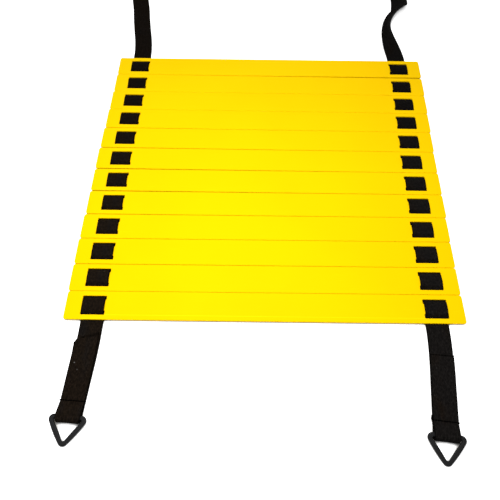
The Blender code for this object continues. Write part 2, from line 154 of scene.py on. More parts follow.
# Stitches, and rows of them: their count, span and thread width
STITCH_LENGTH = 0.0029
STITCH_JITTER = 0.00025
JITTER_WAVES_ALONG = 1000
JITTER_WAVES_ACROSS = 100
STITCH_SEGMENTS = 10
STITCH_RINGS = 8
# The ring seam's stitches are wide and nearly touching, so that the row also stands in for the shade in its
# groove
RING_SEAM_ROW = (10, 0.0242, 0.0015)
TAIL_SEAM_ROW = (9, 0.0222, 0.0011)
WORN_SEAM_ROW = (4, 0.0190, 0.0008)
THREAD_END_SPOTS = ((0.0129, 0.0008), (0.0134, -0.0014), (0.0129, -0.0038))

# Triangular rings
RING_WIDTH = 0.0369
RING_HEIGHT = 0.0296
RING_BAND = 0.0042
RING_THICKNESS = 0.0032
RING_EDGE_ROUNDING = 0.0012
RING_CORNER_RADIUS = 0.0048
RING_BASE_FILLET = 0.0012
RING_POINT_FILLET = 0.0018
RING_SIDE_BOW = 0.0005
RING_WINDOW_BOW = -0.0003

# Points of each far run: share of its length, share of its sideways travel, roll in degrees
LEFT_RUN_SHARES = (
    (0.0, 0.0, 0.0),
    (0.10, 0.03, 0.0),
    (0.21, 0.13, 0.0),
    (0.33, 0.30, 0.0),
    (0.45, 0.46, 0.0),
    (0.57, 0.60, 0.0),
    (0.70, 0.80, 0.0),
    (0.82, 0.94, 0.0),
    (0.92, 1.0, 0.0),
    (1.0, 1.0, 0.0),
)
RIGHT_RUN_SHARES = (
    (0.0, 0.0, 0.0),
    (0.06, -0.04, 0.0),
    (0.13, -0.14, 3.0),
    (0.20, -0.28, 12.0),
    (0.26, -0.38, 26.0),
    (0.32, -0.38, 46.0),
    (0.38, -0.22, 68.0),
    (0.43, 0.04, 90.0),
    (0.48, 0.36, 112.0),
    (0.54, 0.68, 134.0),
    (0.60, 0.90, 154.0),
    (0.66, 1.03, 168.0),
    (0.74, 1.08, 177.0),
    (0.84, 1.05, 180.0),
    (0.93, 1.0, 180.0),
    (1.0, 1.0, 180.0),
)

# Hanks and their ties
HANK_LAYERS = 13
HANK_RUN = 0.300
HANK_END_GAP = 0.0009
HANK_WAIST_GAP = 0.00045
HANK_WAIST_REACH = 0.050
FOLD_SHORTFALL = 0.0035
FOLD_SHARES = (0.2, 0.7, 0.0, 0.9, 0.35, 0.6, 0.1, 1.0, 0.45, 0.75, 0.15, 0.5)
LAYER_SHIFT = 0.0011
LAYER_SHARES = (0.2, -0.5, 0.7, -0.2, 0.4, -0.9, 0.1, 0.8, -0.6, 0.3, -0.3, 0.6, 0.0)
TIE_FROM_NEAR_END = 0.100
TIE_WIDTH = 0.020
TIE_THICKNESS = 0.0015
TIE_CORNER_RADIUS = 0.0030
TIE_LAP = 0.018
TIE_TAPE_THICKNESS = 0.0012
FAR_END_START = 0.160

# Unevenness of webbing that lies loose
SETTLE_HEIGHT = 0.0005
SETTLE_WAVE = 0.022
SETTLE_FINE_SHARE = 0.35
SETTLE_FINE_WAVES = 3.1
SETTLE_OFFSET = 0.5

# Steps and tolerances of curved shapes
CORNER_STEPS = 8
BEND_STEPS = 6
FOLD_STEPS = 10
EYE_STEPS = 24
RING_CORNER_STEPS = 10
RING_BOW_STEPS = 10
RING_ROUNDING_STEPS = 4
RUNG_ROUNDING_STEPS = 2
RUN_STEPS = 8
BAY_STEPS = 24
CURVE_HANDLE_DIVISOR = 6
WELD_DISTANCE = 0.00001
SHARP_EDGE_DEG = 55.0
FLAT_FACE_UP = 0.999

# Colours, linear
YELLOW = (0.960, 0.600, 0.0005)
YELLOW_DEEP = (0.930, 0.530, 0.0005)
# The worn yellow below is the colour of scuffs, and also the painted highlight along the rungs' rounded edges
YELLOW_WORN_AND_EDGE_HIGHLIGHT = (0.880, 0.820, 0.004)
YELLOW_SHINE = (1.0, 0.80, 0.05)
WEB_PLAIN = (0.0150, 0.0132, 0.0122)
WEB_WARM = (0.0175, 0.0115, 0.0072)
# The darkest tone of the webbing, which is also the painted shade in the weave's hollows and along the middle
# of the row
WEB_DARK_TONE_AND_SHADE = (0.0010, 0.0008, 0.0007)
LINT = (0.22, 0.21, 0.20)
RING_BLACK = (0.0085, 0.0085, 0.0088)
RING_WORN = (0.0190, 0.0190, 0.0195)
TAPE_BLACK = (0.0070, 0.0070, 0.0078)
TAPE_WORN = (0.0100, 0.0090, 0.0085)
# Nearly black thread, which is also the painted shade of the seams' grooves
THREAD_BLACK_AND_GROOVE_SHADE = (0.0004, 0.0004, 0.0004)
THREAD_WORN = (0.0016, 0.0014, 0.0013)
FLOOR_WHITE = (0.82, 0.82, 0.82)
# The colour of the painted shade on the floor under the object
FLOOR_PAINTED_SHADE = (0.12, 0.10, 0.06)
WORLD_COLOUR = (1.0, 1.0, 1.0)

# Sockets of a Mix node that is set to colours
MIX_SHARE_SOCKET = 0
MIX_FIRST_SOCKET = 6
MIX_SECOND_SOCKET = 7
MIX_RESULT_SOCKET = 2

# Noise in the finishes: its scale, detail and roughness
YELLOW_DRIFT = (9.0, 3.0, 0.5)
YELLOW_GRAIN = (2600.0, 2.0, 0.5)
SCUFFS = (1.0, 4.0, 0.5)
SCUFF_POOLS = (30.0, 3.0, 0.5)
WEB_FIBRES = (1.0, 4.0, 0.6)
WEB_LUMPS = (1.0, 2.0, 0.6)
WEB_FADE = (1.0, 3.0, 0.5)
WEB_DUST = (1500.0, 1.0, 0.5)
RING_GRAIN = (3000.0, 3.0, 0.6)
RING_RUBBING = (260.0, 4.0, 0.5)
TAPE_FUZZ = (2400.0, 4.0, 0.7)
THREAD_PLIES = (1.0, 3.0, 0.5)

# How much finer than a metre a pattern is, in each direction of its place
RIB_STRETCH = (1000.0, 1000.0, 1000.0)
SCUFF_STRETCH = (40.0, 900.0, 100.0)
FIBRE_STRETCH = (900.0, 5200.0, 900.0)
LUMP_STRETCH = (420.0, 560.0, 420.0)
FADE_STRETCH = (25.0, 60.0, 25.0)
PLY_STRETCH = (2500.0, 7000.0, 7000.0)
TAPE_LOOP_SCALE = 1500.0

# Ribs of the webbing, in millimetres, each brick one float of yarn
RIB_SIZES = {"Scale": 1.0, "Mortar Size": 0.22, "Mortar Smooth": 1.0, "Brick Width": 2.4, "Row Height": 0.95}
# Each brick's own brightness, from these colours, is a painted glint on its float of yarn
RIB_GLINT_COLOURS = {"Color1": (0.0, 0.0, 0.0, 1), "Color2": (1.0, 1.0, 1.0, 1), "Mortar": (0.5, 0.5, 0.5, 1)}
RIB_OFFSET = 0.5

# Ranges in the finishes: low, high and, unless they are 0 and 1, what these two become
YELLOW_DRIFT_RANGE = (0.35, 0.70, 0.0, 0.25)
YELLOW_EDGE_RANGE = (0.53, 0.60)
YELLOW_ROUGHNESS_RANGE = (0.3, 0.7, 0.36, 0.46)
SCUFF_RANGE = (0.66, 0.76)
SCUFF_POOL_RANGE = (0.42, 0.62)
MARK_RANGE = (0.0008, 0.0026, 0.35, 0.0)
# The next range sets how strong the painted glints on the ribs are
RIB_PAINTED_GLINT_RANGE = (0.0, 1.0, 0.5, 1.0)
LUMP_RANGE = (0.34, 0.66, 0.5, 1.0)
# The next range paints shade into the hollows between the ribs
HOLLOW_PAINTED_SHADE_RANGE = (0.0, 1.0, 1.0, 0.4)
# The next two ranges paint shade on the webbing: it darkens along the row over the first and comes back to
# full over the second, for the light's fall-off
NEAR_PAINTED_SHADE_RANGE = (-0.35, 0.05, 1.0, 0.5)
PAINTED_SHADE_END_RANGE = (0.12, 0.30)
SELVAGE_RANGE = (0.0110, 0.0121, 1.0, 0.25)
LEFTWARD_RANGE = (-0.12, 0.12, 0.8, -0.1)
DUST_RANGE = (0.80, 0.84, 0.0, 0.6)
LINT_RANGE = (0.0004, 0.0010)
WEB_ROUGHNESS_RANGE = (0.2, 0.8, 0.62, 0.86)
RING_RUBBING_RANGE = (0.5, 0.72)
RING_EDGE_RANGE = (0.50, 0.56)
RING_ROUGHNESS_RANGE = (0.3, 0.7, 0.48, 0.60)
TAPE_ROUGHNESS_RANGE = (0.2, 0.8, 0.85, 0.98)
THREAD_ROUGHNESS_RANGE = (0.2, 0.8, 0.5, 0.7)

# Gloss and sheen of the finishes, and the depth of their relief
YELLOW_SPECULAR = 0.05
WEB_SPECULAR = 0.012
RING_SPECULAR = 0.08
TAPE_SPECULAR = 0.10
TAPE_SHEEN = 0.10
YELLOW_RELIEF = 0.00002
WEB_RELIEF = 0.00022
RING_RELIEF = 0.00004
TAPE_RELIEF = 0.0002
THREAD_RELIEF = 0.00005

# How strongly scuffs, the painted highlight on the rungs' edges, fibres and faded patches show
YELLOW_EDGE_SHARE = 0.9
SCUFF_SHARE = 0.25
SCUFF_ROUGHNESS = 0.15
SCUFF_DEPTH_SHARE = 0.6
FIBRE_DEPTH_SHARE = 0.5
FADE_GAIN = 3.0
FADE_START = -1.4

# A faint mark on a rung, and specks of lint on the left strap with how white they are
MARK_PLACE = (0.0075, -0.113, 0.004)
LINT_SPOTS = (((-0.19575, -0.4362, 0.0042), 1.0), ((-0.19165, -0.44363, 0.0042), 0.25))

# Light and floor, with a row of lamps beyond the far end for the rungs of a spread ladder
WORLD_STRENGTH = 0.26
LAMP_PLACE = (-0.088, -0.304, 0.705)
LAMP_AIM = (-0.088, -0.304, 0.0)
LAMP_POWER = 6.6
LAMP_SIZE = 0.30
ROW_LAMP_COUNT = 5
ROW_LAMP_START = 1.0
ROW_LAMP_SPACING = 0.75
ROW_LAMP_HEIGHT = 0.80
ROW_LAMP_POWER = 2.6
ROW_LAMP_SPREAD_DEG = 100
FLOOR_SIZE = 40.0
FLOOR_DROP = 0.0001
FLOOR_GLOW = 0.85
FLOOR_SHADE_REACH = 0.010
FLOOR_SHADE_RANGE = (0.20, 0.65)

# Sizes that follow from the ones above
SLOT_LENGTH = WEB_WIDTH + 2 * SLOT_PLAY
SLOT_WIDTH = WEB_THICKNESS + SLOT_ROOM
STRAP_X = RUNG_LENGTH / 2 - SLOT_END_INSET - SLOT_LENGTH / 2
SLOT_MIDDLE_Y = (BRIDGE_WIDTH + SLOT_WIDTH) / 2
RUNG_UNDERSIDE = WEB_THICKNESS + CLEARANCE
WEB_LOW = WEB_THICKNESS / 2
WEB_HIGH = RUNG_UNDERSIDE + RUNG_THICKNESS + CLEARANCE + WEB_THICKNESS / 2
TAIL_HEIGHT = WEB_LOW + WEB_THICKNESS + CLEARANCE
BAR_FLAT = RING_BAND / 2 - RING_EDGE_ROUNDING
BAR_SIDE = RING_THICKNESS / 2 - RING_EDGE_ROUNDING
EYE_RADIUS = math.hypot(BAR_FLAT, BAR_SIDE) + RING_EDGE_ROUNDING + CLEARANCE
LOOP_RADIUS = EYE_RADIUS + WEB_THICKNESS
BAR_TO_CORNERS = RING_CORNER_RADIUS - RING_BAND / 2
RING_REACH = RING_HEIGHT - RING_BAND / 2
HANK_END_PITCH = WEB_THICKNESS + HANK_END_GAP
HANK_WAIST_PITCH = WEB_THICKNESS + HANK_WAIST_GAP
TIE_LAP_GAP = CLEARANCE / 3
TIE_BEND_RADIUS = TIE_CORNER_RADIUS / 2
SECTION_SHARES = SECTION_TOP_SHARES + tuple(
    (across, -height) for across, height in SECTION_TOP_SHARES[-2::-1]
)


# Small geometry helpers


def smoothstep(share):
    share = min(max(share, 0), 1)
    return share * share * (3 - 2 * share)


def arc(centre, radius, start_deg, end_deg, steps):
    """Points on an arc, both ends among them."""
    points = []
    for step in range(steps + 1):
        angle = math.radians(start_deg + (end_deg - start_deg) * step / steps)
        points.append(centre + radius * Vector((math.cos(angle), math.sin(angle))))
    return points


def rounded_rectangle(centre, length, width, radius, steps):
    """Outline of a rectangle with rounded corners, anticlockwise."""
    across, up = length / 2 - radius, width / 2 - radius
    points = []
    for quarter, (side, rise) in enumerate(((1, 1), (-1, 1), (-1, -1), (1, -1))):
        corner = centre + Vector((side * across, rise * up))
        points += arc(corner, radius, 90 * quarter, 90 * quarter + 90, steps)
    return points


def rounded_path(corners, radius, steps):
    """A path with an arc of the given radius at each of its inner corners."""
    points = [corners[0]]
    for before, corner, after in zip(corners, corners[1:], corners[2:]):
        inward = (corner - before).normalized()
        outward = (after - corner).normalized()
        turn = inward.angle_signed(outward)
        tangent = radius * math.tan(abs(turn) / 2)
        side = Vector((-inward.y, inward.x)) * math.copysign(radius, -turn)
        start = corner - inward * tangent
        for step in range(steps + 1):
            swing = Matrix.Rotation(-turn * step / steps, 2)
            points.append(start + side - swing @ side)
    points.append(corners[-1])
    return points


def filled_in(path, longest):
    """The path with points added, so that no step is longer than the longest."""
    points = [path[0]]
    for start, end in zip(path, path[1:]):
        steps = max(math.ceil((end - start).length / longest), 1)
        points += [start.lerp(end, step / steps) for step in range(1, steps + 1)]
    return points


def side_name(side):
    return "left" if side < 0 else "right"


def turned(direction, angle):
    return Matrix.Rotation(angle, 3, "Z") @ direction


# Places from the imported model


def rung_place(index):
    """Middle and turn of a rung, from the box and the farthest corner of its solid."""
    name = "rung_%02d" % (index + 1)
    low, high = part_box(name)
    middle = Vector(((low[0] + high[0]) / 2, (low[1] + high[1]) / 2, 0))
    lean = (high[1] - low[1] - RUNG_WIDTH) / (RUNG_LENGTH - 2 * RUNG_CORNER_RADIUS)
    farthest = max(frame["nodes"][name].data.vertices, key=lambda vertex: vertex.co.y)
    return middle, math.copysign(math.asin(max(lean, 0)), farthest.co.x - middle.x)


rungs = [rung_place(index) for index in range(RUNG_COUNT)]


def on_rung(index, x, y, height):
    """A point given in a rung's own directions, put in the row's frame."""
    middle, turn = rungs[index]
    return middle + turned(Vector((x, y, 0)), turn) + Vector((0, 0, height))


def joint(name):
    """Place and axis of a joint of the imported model."""
    found = next(entry for entry in frame["joints"] if entry["name"] == name)
    return Vector(found["pos_m"]), Vector(found["axis"])


# Webbing shapes, each a path of lengths and heights


def weave_path(near_reach, far_reach, bow, skew):
    """The strap's way under a rung's near margin, over its bridge and under its far margin."""
    diagonal = math.hypot(SLOT_WIDTH, RUNG_THICKNESS)
    room = WEB_THICKNESS + 2 * CLEARANCE
    climb = math.atan2(RUNG_THICKNESS, SLOT_WIDTH) + math.asin(min(room / diagonal, 1))
    run = (WEB_HIGH - WEB_LOW) / 2 / math.tan(climb)
    corners = [
        Vector((-near_reach, WEB_LOW)),
        Vector((-SLOT_MIDDLE_Y - run, WEB_LOW)),
        Vector((-SLOT_MIDDLE_Y + run, WEB_HIGH)),
        Vector((SLOT_MIDDLE_Y - run, WEB_HIGH)),
        Vector((SLOT_MIDDLE_Y + run, WEB_LOW)),
        Vector((far_reach, WEB_LOW)),
    ]
    path = filled_in(rounded_path(corners, WEB_BEND_RADIUS, BEND_STEPS), END_STEP)
    top = SLOT_MIDDLE_Y - run / 2
    for point in path:
        if abs(point.x) < top:
            along = (point.x + top) / (2 * top)
            point.y += bow * math.sin(math.pi * along ** skew) ** 2
    return path


def end_path(length, seam_from_bar):
    """The sewn end: along the bottom, loosely round the ring's bar and back on top as the tail."""
    around = LOOP_RADIUS - WEB_THICKNESS / 2
    bend = Vector((length + EYE_SLACK, LOOP_RADIUS))
    seam = Vector((length - seam_from_bar, TAIL_HEIGHT))
    to_bend = bend - seam
    lean = math.asin(around / to_bend.length) + math.atan2(to_bend.y, to_bend.x)
    bottom = filled_in([Vector((0, WEB_LOW)), Vector((bend.x, WEB_LOW))], END_STEP)
    eye = arc(bend, around, -90, 90 + math.degrees(lean), EYE_STEPS)
    loop = filled_in([eye[-1], seam], END_STEP)
    for index, point in enumerate(loop):
        point.y += LOOP_BULGE * math.sin(math.pi * (index / (len(loop) - 1)) ** LOOP_BULGE_SKEW)
    tail_end = Vector((length - FOLD_BACK_LENGTH, TAIL_HEIGHT))
    tail = filled_in([seam, tail_end], END_STEP / 2)
    for point in tail:
        grooves = groove(point.x - seam.x) + groove(point.x - tail_end.x - END_ROW_INSET)
        point.y += TAIL_PUFF - (TAIL_PUFF + SEAM_DIP) * grooves
    return bottom[:-1] + eye + loop[1:-1] + tail


def groove(away):
    """1 on a row of stitches, falling smoothly to 0 a little way off."""
    return smoothstep(1 - abs(away) / GROOVE_REACH)


def tie_closeness(along):
    """1 under the tie, falling smoothly to 0 where the hank is at its full height."""
    away = abs(along - TIE_FROM_NEAR_END) - TIE_WIDTH / 2
    return smoothstep(1 - away / (HANK_WAIST_REACH - TIE_WIDTH / 2))


def layer_height(layer, along):
    """Height of the middle of one layer of the hank."""
    closeness = tie_closeness(along)
    pitch = HANK_END_PITCH + (HANK_WAIST_PITCH - HANK_END_PITCH) * closeness
    return WEB_LOW + (TIE_THICKNESS + CLEARANCE) * closeness + pitch * layer


def hank_path():
    """To and fro in layers: points of length, height and sideways shift of the layer."""
    path = []
    for layer in range(HANK_LAYERS):
        outward = layer % 2 == 0
        start = hank_fold(layer - 1, not outward)
        end = hank_fold(layer, outward) if layer < HANK_LAYERS - 1 else FAR_END_START - CLEARANCE
        steps = math.ceil(abs(end - start) / WEB_STEP)
        for step in range(steps + 1):
            along = start + (end - start) * step / steps
            shift = LAYER_SHIFT * LAYER_SHARES[layer] * (1 - tie_closeness(along))
            fade = smoothstep(abs(along - end) / HANK_WAIST_REACH)
            if layer < HANK_LAYERS - 1:
                shift += (fold_shift(layer) - shift) * (1 - fade)
            if layer:
                fade = smoothstep(abs(along - start) / HANK_WAIST_REACH)
                shift += (fold_shift(layer - 1) - shift) * (1 - fade)
            path.append((Vector((along, layer_height(layer, along))), shift))
        if layer < HANK_LAYERS - 1:
            low, high = layer_height(layer, end), layer_height(layer + 1, end)
            middle = Vector((end, (low + high) / 2))
            bend = arc(middle, (high - low) / 2, -90, 90 if outward else -270, FOLD_STEPS)
            path += [(point, fold_shift(layer)) for point in bend[1:-1]]
    return path


def hank_fold(layer, outward):
    """How far along a fold lies, each one a little short of the hank's full run."""
    if layer < 0:
        return 0
    short = FOLD_SHORTFALL * FOLD_SHARES[layer]
    return HANK_RUN - short if outward else short


def fold_shift(layer):
    """Sideways place of a fold, between those of the two layers it joins."""
    return LAYER_SHIFT * (LAYER_SHARES[layer] + LAYER_SHARES[layer + 1]) / 2


# Routes of the webbing: middle points and directions across, in the row's frame


def weave_route(index, side, near_reach, far_reach, set_in=0):
    """The strap through one rung, towards the far end, which may start a little set in."""
    bows = LEFT_BOW_SHARES if side < 0 else RIGHT_BOW_SHARES
    skews = LEFT_BOW_SKEWS if side < 0 else RIGHT_BOW_SKEWS
    path = weave_path(near_reach, far_reach, LARGEST_BOW * bows[index], skews[index])
    across = turned(Vector((1, 0, 0)), rungs[index][1])
    route = []
    for point in path:
        share = smoothstep((-WEAVE_REACH - point.x) / (RUNG_WIDTH / 2 - WEAVE_REACH))
        x = side * (STRAP_X - set_in * share)
        route.append((on_rung(index, x, point.x, point.y), across))
    return route


def swerved(along, angle):
    """Where the middle line of a swerving strap has got to, along and across, and its heading."""
    radius = SWERVE_LENGTH / angle
    bent = angle * min(max(along / SWERVE_LENGTH, 0), 1)
    beyond = max(along - SWERVE_LENGTH, 0) + min(along, 0)
    forward = radius * math.sin(bent) + beyond * math.cos(bent)
    sideways = radius - radius * math.cos(bent) + beyond * math.sin(bent)
    return forward, sideways, bent


def near_end_route(side, length, seam_from_bar, angle, tail_shift):
    """The sewn near end, from the tail's cut end round the ring's bar to the first rung."""
    path = end_path(length, seam_from_bar)
    route = []
    tail_start = max(range(len(path)), key=lambda index: path[index].x)
    for index, point in enumerate(path):
        forward, sideways, bent = swerved(point.x, angle)
        across = Vector((math.cos(bent), -math.sin(bent), 0))
        x = side * (STRAP_X - NEAR_SET_IN) - sideways
        spot = Vector((x, -RUNG_WIDTH / 2 - CLEARANCE - forward, 0))
        from_seam = length - seam_from_bar - point.x
        if index > tail_start and from_seam > 0:
            spot += across * tail_shift * from_seam / (FOLD_BACK_LENGTH - seam_from_bar)
        loose, open_share = looseness(point, length)
        across = turned(across, rungs[0][1]) * open_share
        route.append((settled(on_rung(0, spot.x, spot.y, point.y), loose), across))
    return route[::-1]


def looseness(point, length):
    """How freely a point of a sewn end lies, 0 in the ring's eye, and how much of its width is open."""
    loose = smoothstep((length - EYE_RADIUS - point.x) / EYE_CALM_REACH)
    pinch = EYE_PINCH_SHARE * smoothstep((point.x - length) / (EYE_SLACK + LOOP_RADIUS))
    return loose, 1 - pinch


def far_run_route(start, end, shares):
    """The stretch from the far rung to the hank, which may roll over on its way."""
    points = [Vector(share) for share in shares]
    steps = []
    for before, first, last, after in zip(points[:1] + points, points, points[1:], points[2:] + points[-1:]):
        lead = first + (last - before) / CURVE_HANDLE_DIVISOR
        trail = last - (after - first) / CURVE_HANDLE_DIVISOR
        steps += interpolate_bezier(first, lead, trail, last, RUN_STEPS + 1)[:-1]
    steps.append(points[-1])
    route = []
    for index, (along, across, roll_deg) in enumerate(steps):
        middle = start.lerp(end, along)
        middle.x = start.x + (end.x - start.x) * across
        before, after = steps[max(index - 1, 0)], steps[min(index + 1, len(steps) - 1)]
        sideways = (end.x - start.x) * (after[1] - before[1])
        forwards = (end.y - start.y) * (after[0] - before[0])
        heading = 0 if index in (0, len(steps) - 1) else math.atan2(sideways, forwards)
        roll = math.radians(roll_deg)
        middle.z = WEB_WIDTH / 2 * abs(math.sin(roll)) + WEB_THICKNESS / 2 * abs(math.cos(roll))
        direction = turned(Vector((math.cos(roll), 0, -math.sin(roll))), -heading)
        flatness = smoothstep(math.cos(roll) ** 2) * math.sin(math.pi * along)
        route.append((settled(middle, flatness), direction))
    return route


def settled(point, share):
    """A point of loose webbing, lifted a little where the webbing doesn't lie quite flat."""
    spot = Vector((point.x, point.y, 0)) / SETTLE_WAVE
    lift = noise.noise(spot) + SETTLE_FINE_SHARE * noise.noise(spot * SETTLE_FINE_WAVES)
    return point + Vector((0, 0, SETTLE_HEIGHT * share * max(lift + SETTLE_OFFSET, 0)))


def far_route(side, shares):
    """From the far rung's weave to the cut end of the far tail, through the run and the hank."""
    last = RUNG_COUNT - 1
    route = weave_route(last, side, WEAVE_REACH, RUNG_WIDTH / 2)
    name = side_name(side)
    low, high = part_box(name + "_strap_hank")
    hank = Vector(((low[0] + high[0]) / 2, low[1] + HANK_END_PITCH / 2 + WEB_THICKNESS / 2, 0))
    start = on_rung(last, side * STRAP_X, RUNG_WIDTH / 2 + CLEARANCE, 0)
    end = hank + Vector((0, -CLEARANCE, 0))
    route += far_run_route(start, end, shares)
    across = route[-1][1].normalized()
    for point, shift in hank_path():
        share = 1 - tie_closeness(point.x)
        spot = settled(hank + Vector((shift, point.x, point.y)), share)
        route.append((spot, across))
    base = HANK_END_PITCH * (HANK_LAYERS - 1)
    for point in end_path(FAR_LENGTH, FAR_SEAM_FROM_BAR):
        spot = hank + Vector((0, FAR_END_START + point.x, base + point.y))
        loose, open_share = looseness(point, FAR_LENGTH)
        route.append((settled(spot, loose), across * open_share))
    return route


# Making the webbing


def route_frames(route):
    """Middle, direction across, direction up, direction along and distance of each point."""
    frames = []
    distance = 0
    for index, (middle, across) in enumerate(route):
        before = route[max(index - 1, 0)][0]
        after = route[min(index + 1, len(route) - 1)][0]
        along = (after - before).normalized()
        up = across.cross(along).normalized()
        distance += (middle - before).length
        frames.append((middle, along.cross(up) * across.length, up, along, distance))
    return frames


def cut_lean(cut, wide):
    """How far a cut end is set back at one place across it, read from the cut's table."""
    for (start, low), (end, high) in zip(cut, cut[1:]):
        if wide <= end:
            return low + (high - low) * (wide - start) / (end - start)
    return cut[-1][1]


def add_strip(name, route, width, thickness, material, cut=SQUARE_CUT, fray=0):
    """A closed woven strip along a route, with a UV map of distance along and across in metres.

    The direction across a route's point is as long as the share of the width that is open there.
    """
    frames = route_frames(route)
    length = frames[-1][4]
    columns, rows = len(SECTION_SHARES) - 1, len(route) - 1
    shape = bmesh.new()
    bmesh.ops.create_grid(shape, x_segments=columns, y_segments=rows, size=1)
    measures = shape.loops.layers.uv.new("webbing")
    shape.verts.ensure_lookup_table()
    places = {}
    for vertex in shape.verts:
        column = round((vertex.co.x + 1) / 2 * columns)
        row = round((vertex.co.y + 1) / 2 * rows)
        middle, across, up, along, distance = frames[row]
        wide, tall = SECTION_SHARES[column]
        lean = cut_lean(cut, wide) * max(1 - distance / CUT_REACH, 0)
        if row in (0, rows):
            lean += fray * noise.noise(Vector((wide * columns, tall, distance)))
        places[vertex] = (distance, wide * width)
        vertex.co = middle + across * wide * width + up * tall * thickness + along * lean
        vertex.co.z = max(vertex.co.z, 0)
    for face in shape.faces:
        face.smooth = True
        for loop in face.loops:
            loop[measures].uv = places[loop.vert]
    bmesh.ops.remove_doubles(shape, verts=shape.verts, dist=WELD_DISTANCE)
    rims = [edge for edge in shape.edges if edge.is_boundary]
    bmesh.ops.holes_fill(shape, edges=rims, sides=0)
    bmesh.ops.recalc_face_normals(shape, faces=shape.faces)
    mesh = bpy.data.meshes.new(name)
    shape.to_mesh(mesh)
    shape.free()
    mesh.set_sharp_from_angle(angle=math.radians(SHARP_EDGE_DEG))
    mesh.materials.append(material)
    return link(bpy.data.objects.new(name, mesh)), length


def link(thing):
    bpy.context.scene.collection.objects.link(thing)
    return thing


def add_weaves(side, materials):
    """The strap through each rung between the two end rungs, and the bay between each two rungs."""
    name = side_name(side)
    for index in range(1, RUNG_COUNT - 1):
        body = "rung_%02d" % (index + 1)
        route = weave_route(index, side, WEAVE_REACH, WEAVE_REACH)
        strip, length = add_strip(
            "%s_webbing_weave_%02d" % (name, index + 1), route, WEB_WIDTH, WEB_THICKNESS, materials["webbing"]
        )
        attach(strip, body)
        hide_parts("%s_strap_%02d" % (name, index + 1))
    for index in range(RUNG_COUNT - 1):
        start = on_rung(index, side * STRAP_X, WEAVE_REACH, WEB_LOW)
        end = on_rung(index + 1, side * STRAP_X, -WEAVE_REACH, WEB_LOW)
        along = (end - start).normalized()
        across = along.cross(Vector((0, 0, 1)))
        route = [(start.lerp(end, step / BAY_STEPS), across) for step in range(BAY_STEPS + 1)]
        bay, length = add_strip(
            "%s_webbing_bay_%02d" % (name, index + 1), route, WEB_WIDTH, WEB_THICKNESS, materials["bay"]
        )
        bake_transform(bay)


def add_near_webbing(side, materials):
    """The first rung's weave and the sewn near end as one strip, with its stitches."""
    name = side_name(side)
    length = LEFT_NEAR_LENGTH if side < 0 else RIGHT_NEAR_LENGTH
    angle = math.radians(LEFT_SWERVE_DEG if side < 0 else RIGHT_SWERVE_DEG)
    shift = LEFT_TAIL_SHIFT if side < 0 else 0
    cut = LEFT_CUT if side < 0 else RIGHT_CUT
    seam = LEFT_SEAM_FROM_BAR if side < 0 else RIGHT_SEAM_FROM_BAR
    route = near_end_route(side, length, seam, angle, shift)
    stitched = route_frames(route)
    route += weave_route(0, side, RUNG_WIDTH / 2, WEAVE_REACH, NEAR_SET_IN)
    strip, length = add_strip(
        name + "_webbing_near", route, WEB_WIDTH, WEB_THICKNESS, materials["webbing"], cut, FRAY
    )
    sewn = [
        add_stitches(
            name + "_near_ring_seam", stitched, FOLD_BACK_LENGTH - seam, RING_SEAM_ROW, SQUARE_CUT, materials,
            THREAD_END_SPOTS if side > 0 else (),
        ),
        add_stitches(
            name + "_near_tail_seam", stitched, END_ROW_INSET, TAIL_SEAM_ROW if side > 0 else WORN_SEAM_ROW,
            cut, materials,
        ),
    ]
    for piece in [strip, *sewn]:
        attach(piece, "rung_01")
    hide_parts(name + "_strap_near_end", name + "_strap_01")


def add_far_webbing(side, materials):
    """The far rung's weave, the far run, the hank and the sewn far end as one strip."""
    name = side_name(side)
    route = far_route(side, LEFT_RUN_SHARES if side < 0 else RIGHT_RUN_SHARES)
    strip, length = add_strip(
        name + "_webbing_far", route, WEB_WIDTH, WEB_THICKNESS, materials["webbing"], SQUARE_CUT, FRAY
    )
    stitched = route_frames(route[::-1])
    sewn = [
        add_stitches(
            name + "_far_ring_seam", stitched, FOLD_BACK_LENGTH - FAR_SEAM_FROM_BAR, RING_SEAM_ROW,
            SQUARE_CUT, materials,
        ),
        add_stitches(name + "_far_tail_seam", stitched, END_ROW_INSET, TAIL_SEAM_ROW, SQUARE_CUT, materials),
    ]
    for piece in [strip, *sewn]:
        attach(piece, "rung_12")
    replaced = [name + "_strap_" + part for part in ("12", "far_run", "hank", "far_end")]
    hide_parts(*replaced)


def add_stitches(name, frames, along, row, cut, materials, loose_ends=()):
    """A row of stitches across a folded tail, a given way from its cut end and slanted as the cut is.

    Loose ends are spots of frayed thread beside the row.
    """
    count, span, width = row
    middle, across, up, heading, _ = min(frames, key=lambda entry: abs(entry[4] - along))
    way = 1
    if up.z < 0:
        across, up, way = -across, -up, -1
    shape = bmesh.new()
    spots = []
    for index in range(count):
        share = index / (count - 1) - 0.5
        wide = way * share * span / WEB_WIDTH
        half = STITCH_LENGTH / WEB_WIDTH / 2
        place = Vector((index, along * JITTER_WAVES_ALONG, middle.x * JITTER_WAVES_ACROSS))
        wobble = STITCH_JITTER * noise.noise(place)
        rise = (cut_lean(cut, wide + way * half) - cut_lean(cut, wide - way * half)) / STITCH_LENGTH
        spots.append((span * share, wobble + cut_lean(cut, wide), across + heading * rise))
    spots += [(wide, further, heading) for wide, further in loose_ends]
    for wide, further, slope in spots:
        spot = middle + across * wide + heading * further + up * (WEB_THICKNESS / 2)
        slope = slope.normalized()
        size = Matrix.Diagonal((STITCH_LENGTH / 2, width / 2, width / 2, 1))
        axes = Matrix((slope, up.cross(slope), up)).transposed().to_4x4()
        place = Matrix.Translation(spot) @ axes @ size
        bmesh.ops.create_uvsphere(
            shape, u_segments=STITCH_SEGMENTS, v_segments=STITCH_RINGS, radius=1, matrix=place
        )
    return finished(name, shape, materials["thread"])


